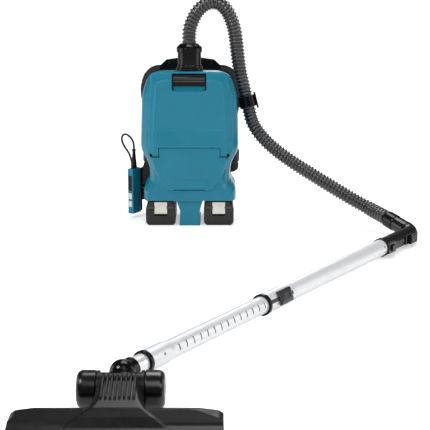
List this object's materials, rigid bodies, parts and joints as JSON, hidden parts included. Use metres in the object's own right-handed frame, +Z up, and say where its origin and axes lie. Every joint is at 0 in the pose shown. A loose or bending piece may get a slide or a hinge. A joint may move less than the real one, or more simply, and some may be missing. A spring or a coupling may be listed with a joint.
{
  "type": "backpack vacuum cleaner",
  "caption": "Cordless backpack vacuum cleaner standing upright: hinged front door, slide-in batteries, corrugated hose, telescopic slotted wand and a wheeled swivelling floor nozzle.",
  "frame": {"origin": "on the floor, below the middle of the pack's centre leg", "axes": "+Z up, -Y towards the door side of the pack and the nozzle, +X towards the hose clip and the handle"},
  "size_m": [0.7417, 1.5, 0.5396],
  "materials": {
    "teal_shell": "satin",
    "black_plastic": "fine texture",
    "handle_plastic": "fine texture",
    "nozzle_plastic": "satin",
    "lever_grey": "satin",
    "hose_skin": "satin, corrugated",
    "cord_skin": "matte",
    "battery_case": "fine texture",
    "pale_button": "matte",
    "wand_tube": "satin anodised",
    "neck_metal": "polished",
    "wheel_tread": "matte",
    "steel": "brushed",
    "sole_grey": "matte",
    "bristle": "bristle",
    "seal_rubber": "matte",
    "harness_fabric": "woven and padded",
    "filter_paper": "paper",
    "bag_card": "card",
    "motor_metal": "cast",
    "fan_plastic": "matte",
    "board_green": "solder mask"
  },
  "bodies": {
    "pack": {"main_housing": "teal_shell", "rear_cover": "teal_shell", "base_tray": "black_plastic", "inlet_port": "black_plastic", "bag_plate": "bag_card", "dust_bag": "filter_paper", "hepa_filter": "filter_paper", "motor_housing": "fan_plastic", "motor": "motor_metal", "control_board": "board_green", "battery_terminals": "fan_plastic", "door_seal": "seal_rubber", "back_frame": "black_plastic", "back_pad": "harness_fabric", "shoulder_strap_left": "harness_fabric", "shoulder_strap_right": "harness_fabric", "hip_pad_left": "harness_fabric", "hip_pad_right": "harness_fabric", "belt_buckle": "black_plastic", "grab_loop": "harness_fabric", "case_screws": "steel", "hose_clip": "black_plastic", "hose": "hose_skin", "hose_end_cuff": "lever_grey", "control_case": "teal_shell", "control_label": "lever_grey", "control_strain_relief": "black_plastic", "control_clip": "black_plastic", "control_cord": "cord_skin", "control_gland": "black_plastic"},
    "fan": {"impeller": "fan_plastic", "motor_shaft": "steel"},
    "door": {"front_door": "teal_shell", "latch_bezel": "black_plastic", "hinge_pins": "steel"},
    "latch_lever": {"latch_lever": "lever_grey"},
    "inlet_cuff": {"inlet_cuff": "black_plastic"},
    "battery_left": {"battery_left": "battery_case"},
    "battery_right": {"battery_right": "battery_case"},
    "battery_button_left": {"battery_button_left": "pale_button"},
    "battery_button_right": {"battery_button_right": "pale_button"},
    "power_button": {"power_button": "pale_button"},
    "mode_button": {"mode_button": "pale_button"},
    "handle": {"handle_pipe": "handle_plastic", "upper_tube": "wand_tube", "tube_collar": "black_plastic"},
    "handle_lock_button": {"handle_lock_button": "lever_grey"},
    "suction_slider": {"suction_slider": "lever_grey"},
    "tube_latch": {"tube_latch": "lever_grey"},
    "lower_wand": {"lower_tube": "wand_tube", "lower_collar": "black_plastic", "neck_tube": "neck_metal", "neck_elbow": "black_plastic"},
    "nozzle_drum": {"nozzle_drum": "black_plastic", "wheel_axle": "steel"},
    "wheel_left": {"wheel_left": "wheel_tread"},
    "wheel_right": {"wheel_right": "wheel_tread"},
    "nozzle_head": {"nozzle_body": "nozzle_plastic", "sole_plate": "sole_grey", "brush_strips": "bristle"}
  },
  "joints": [
    {"name": "fan_spin", "type": "hinge", "parent": "pack", "child": "fan", "pos_m": [0, 0.006, 0.09], "axis": [0, 0, 1], "continuous": true},
    {"name": "door_hinge", "type": "hinge", "parent": "pack", "child": "door", "pos_m": [0, -0.063, 0.175], "axis": [1, 0, 0], "range_deg": [0, 46]},
    {"name": "latch_hinge", "type": "hinge", "parent": "door", "child": "latch_lever", "pos_m": [0, -0.064, 0.357], "axis": [-1, 0, 0], "range_deg": [0, 24], "stiffness_Nm_per_rad": 0.2, "springref_deg": -17.19},
    {"name": "cuff_swivel", "type": "hinge", "parent": "pack", "child": "inlet_cuff", "pos_m": [0, -0.025, 0.4], "axis": [0, 0, 1], "continuous": true},
    {"name": "battery_slide_left", "type": "slide", "parent": "pack", "child": "battery_left", "axis": [0, -1, 0], "range_m": [0, 0.12]},
    {"name": "battery_slide_right", "type": "slide", "parent": "pack", "child": "battery_right", "axis": [0, -1, 0], "range_m": [0, 0.12]},
    {"name": "battery_button_press_left", "type": "slide", "parent": "battery_left", "child": "battery_button_left", "axis": [0, 0, -1], "range_m": [0, 0.004], "stiffness_N_per_m": 600, "springref_m": -0.002},
    {"name": "battery_button_press_right", "type": "slide", "parent": "battery_right", "child": "battery_button_right", "axis": [0, 0, -1], "range_m": [0, 0.004], "stiffness_N_per_m": 600, "springref_m": -0.002},
    {"name": "power_press", "type": "slide", "parent": "pack", "child": "power_button", "axis": [0.5446, 0.8387, 0], "range_m": [0, 0.001], "stiffness_N_per_m": 600, "springref_m": -0.001},
    {"name": "mode_press", "type": "slide", "parent": "pack", "child": "mode_button", "axis": [0.5446, 0.8387, 0], "range_m": [0, 0.001], "stiffness_N_per_m": 600, "springref_m": -0.001},
    {"name": "handle_turn", "type": "hinge", "parent": "pack", "child": "handle", "pos_m": [0.4755, -0.1687, 0.0299], "axis": [-0.6071, 0.7583, 0.2374], "range_deg": [0, 70]},
    {"name": "handle_lock_press", "type": "slide", "parent": "handle", "child": "handle_lock_button", "axis": [-0.8536, 0.521, 0], "range_m": [0, 0.002], "stiffness_N_per_m": 600, "springref_m": -0.002},
    {"name": "suction_slide", "type": "slide", "parent": "handle", "child": "suction_slider", "axis": [-0.5209, -0.8533, 0.0223], "range_m": [0, 0.012]},
    {"name": "tube_latch_slide", "type": "slide", "parent": "handle", "child": "tube_latch", "axis": [0.5209, 0.8533, -0.0223], "range_m": [0, 0.005], "stiffness_N_per_m": 600, "springref_m": -0.002},
    {"name": "tube_slide", "type": "slide", "parent": "handle", "child": "lower_wand", "axis": [0.5209, 0.8533, -0.0223], "range_m": [-0.021, 0.273]},
    {"name": "neck_swivel", "type": "hinge", "parent": "lower_wand", "child": "nozzle_drum", "pos_m": [-0.076, -1.15975, 0.04302], "axis": [0, 0.8829, 0.4695], "range_deg": [-60, 60]},
    {"name": "wheel_spin_left", "type": "hinge", "parent": "nozzle_drum", "child": "wheel_left", "pos_m": [-0.1255, -1.188, 0.028], "axis": [1, 0, 0], "continuous": true},
    {"name": "wheel_spin_right", "type": "hinge", "parent": "nozzle_drum", "child": "wheel_right", "pos_m": [-0.0265, -1.188, 0.028], "axis": [1, 0, 0], "continuous": true},
    {"name": "nozzle_tilt", "type": "hinge", "parent": "nozzle_drum", "child": "nozzle_head", "pos_m": [-0.076, -1.188, 0.028], "axis": [1, 0, 0], "range_deg": [-20, 40]}
  ]
}
